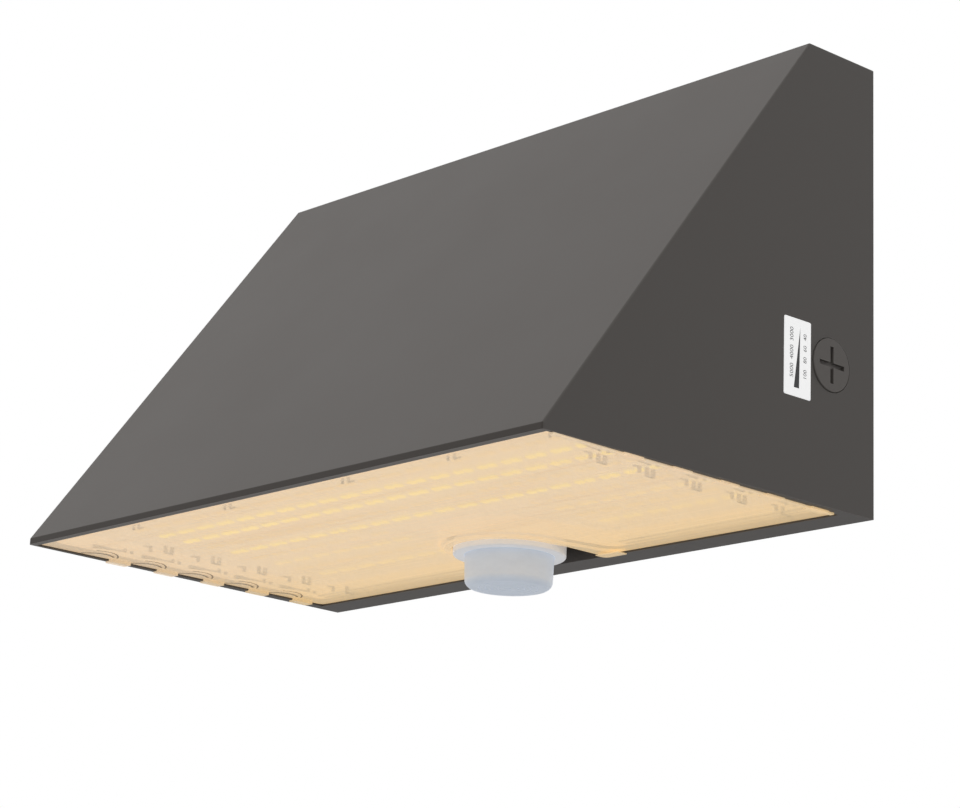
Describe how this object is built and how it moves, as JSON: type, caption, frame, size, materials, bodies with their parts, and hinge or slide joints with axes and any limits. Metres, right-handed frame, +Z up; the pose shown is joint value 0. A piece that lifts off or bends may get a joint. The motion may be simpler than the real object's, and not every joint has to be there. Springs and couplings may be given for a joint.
{
  "type": "wall pack light",
  "caption": "Wedge-shaped outdoor wall light with a sloped front, a flat downward lens, a twist-in light sensor and a screw plug over its selector switches, hung on a wall plate.",
  "frame": {"origin": "centre of the junction box screw pattern, on the wall, at the back of the foam gasket", "axes": "+X right as seen from in front, +Y into the wall, +Z up"},
  "size_m": [0.36, 0.204, 0.2301],
  "materials": {
    "wall_plate": "zinc plated sheet steel",
    "wall_gasket": "closed-cell foam",
    "wire_grommet": "satin",
    "terminal_block": "moulded",
    "terminal_screws": "turned",
    "earth_screw": "green passivated",
    "housing": "fine textured dark bronze powder coat",
    "lock_screw": "plated",
    "lock_nut": "plated",
    "lens": "frosted, finely ribbed",
    "lens_gasket": "soft sponge",
    "led_tray": "white painted",
    "tray_screws": "plated",
    "led_board_front": "white solder mask",
    "led_board_left": "white solder mask",
    "led_board_right": "white solder mask",
    "board_screws": "plated",
    "board_connectors": "moulded",
    "leds_warm": "phosphor gel",
    "leds_cool": "phosphor gel",
    "driver_bracket": "zinc plated",
    "bracket_screws": "plated",
    "driver_case": "moulded",
    "driver_cover": "moulded",
    "driver_screws": "plated",
    "driver_board": "green solder mask",
    "transformer_winding": "taped winding",
    "transformer_core": "ferrite",
    "driver_capacitors": "sleeved",
    "selector_switches": "moulded",
    "colour_slider": "moulded",
    "power_slider": "moulded",
    "selector_label": "printed film",
    "plug_seal": "satin",
    "side_plug": "textured",
    "sensor_socket": "moulded",
    "socket_ring": "moulded",
    "sensor_gasket": "satin",
    "sensor_base": "moulded",
    "sensor_cover": "moulded, slightly translucent",
    "sensor_board": "green solder mask",
    "photocell": "ceramic",
    "sensor_contacts": "turned",
    "led_leads": "insulated wire",
    "sensor_leads": "insulated wire"
  },
  "bodies": {
    "wall_mount": {"wall_gasket": "wall_gasket", "wall_plate": "wall_plate", "wire_grommet": "wire_grommet", "terminal_block": "terminal_block", "terminal_screws": "terminal_screws", "earth_screw": "earth_screw"},
    "plug_seal": {"plug_seal": "plug_seal"},
    "side_plug": {"side_plug": "side_plug"},
    "colour_slider": {"colour_slider": "colour_slider"},
    "power_slider": {"power_slider": "power_slider"},
    "sensor_head": {"sensor_base": "sensor_base", "sensor_cover": "sensor_cover", "sensor_board": "sensor_board", "photocell": "photocell", "sensor_contacts": "sensor_contacts"},
    "housing": {"housing": "housing", "lock_screw": "lock_screw", "lock_nut": "lock_nut", "lens": "lens", "lens_gasket": "lens_gasket", "led_tray": "led_tray", "tray_screws": "tray_screws", "led_board_front": "led_board_front", "led_board_left": "led_board_left", "led_board_right": "led_board_right", "board_screws": "board_screws", "board_connectors": "board_connectors", "leds_warm": "leds_warm", "leds_cool": "leds_cool", "driver_bracket": "driver_bracket", "bracket_screws": "bracket_screws", "driver_case": "driver_case", "driver_cover": "driver_cover", "driver_screws": "driver_screws", "driver_board": "driver_board", "transformer_winding": "transformer_winding", "transformer_core": "transformer_core", "driver_capacitors": "driver_capacitors", "selector_switches": "selector_switches", "selector_label": "selector_label", "sensor_socket": "sensor_socket", "socket_ring": "socket_ring", "sensor_gasket": "sensor_gasket", "led_leads": "led_leads", "sensor_leads": "sensor_leads"}
  },
  "joints": [
    {"name": "housing_swing", "type": "hinge", "parent": "wall_mount", "child": "housing", "pos_m": [0, -0.0065, 0.0982], "axis": [-1, 0, 0], "range_deg": [0, 25]},
    {"name": "sensor_twist", "type": "hinge", "parent": "housing", "child": "sensor_head", "pos_m": [0, -0.0505, -0.11], "axis": [0, 0, 1], "range_deg": [0, 25]},
    {"name": "plug_travel", "type": "slide", "parent": "housing", "child": "plug_seal", "axis": [1, 0, 0], "range_m": [0, 0.009]},
    {"name": "plug_turn", "type": "hinge", "parent": "plug_seal", "child": "side_plug", "pos_m": [0.17, -0.031, -0.0454], "axis": [1, 0, 0], "range_deg": [0, 2161]},
    {"name": "colour_slide", "type": "slide", "parent": "housing", "child": "colour_slider", "axis": [0, 0, 1], "range_m": [0, 0.005]},
    {"name": "power_slide", "type": "slide", "parent": "housing", "child": "power_slider", "axis": [0, 0, 1], "range_m": [0, 0.0075]}
  ],
  "couplings": [
    {"joint": "plug_turn", "follows": "plug_travel", "rad_per_m": 4188.8}
  ]
}
